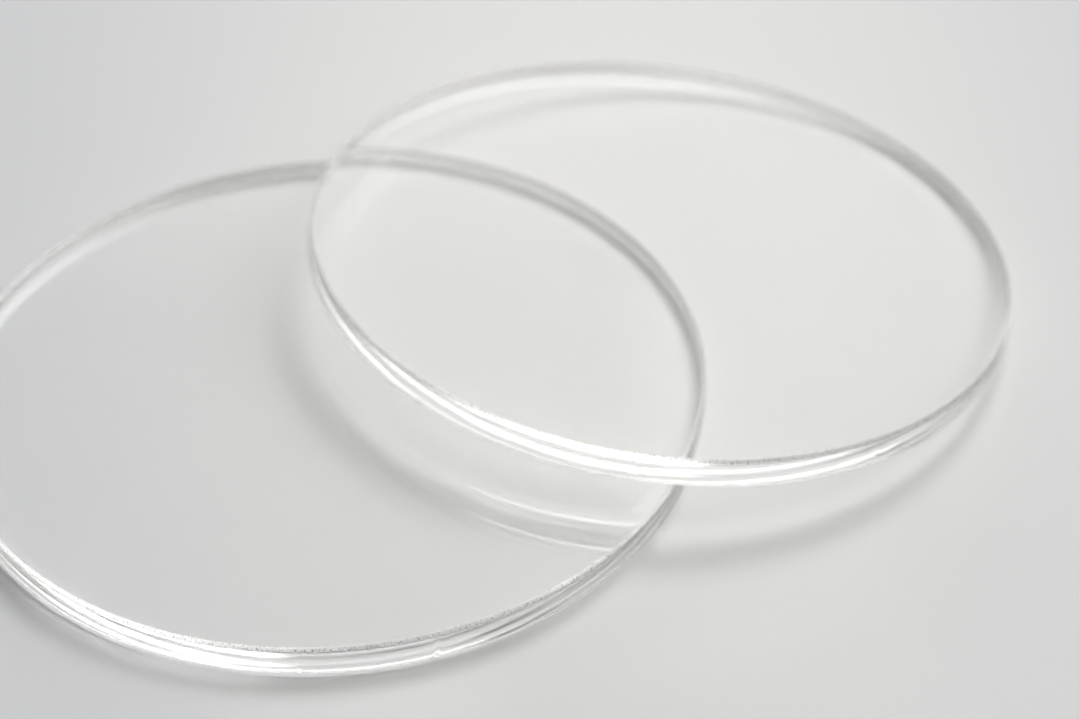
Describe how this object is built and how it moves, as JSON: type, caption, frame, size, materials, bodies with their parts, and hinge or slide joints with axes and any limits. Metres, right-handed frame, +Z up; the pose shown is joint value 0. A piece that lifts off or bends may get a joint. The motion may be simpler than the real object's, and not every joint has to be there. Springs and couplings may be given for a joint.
{
  "type": "watch glass",
  "caption": "Clear flat round glass with a chamfered, slightly rounded rim, lying level under a matching glass that leans on its edge; covers a beaker or holds a small sample.",
  "frame": {"origin": "centre of the lower glass's underside, on the bench", "axes": "+Z up; +X from the lower glass towards the edge that the leaning glass stands on; Y across"},
  "size_m": [0.1061, 0.07, 0.0093],
  "materials": {
    "clear_glass": "polished"
  },
  "bodies": {
    "lower_glass": {"lower_watch_glass": "clear_glass"},
    "leaning_glass": {"leaning_watch_glass": "clear_glass"}
  },
  "joints": [
    {"name": "leaning_glass_lift", "type": "slide", "parent": "lower_glass", "child": "leaning_glass", "axis": [0, 0, 1], "range_m": [0, 0.006]}
  ]
}
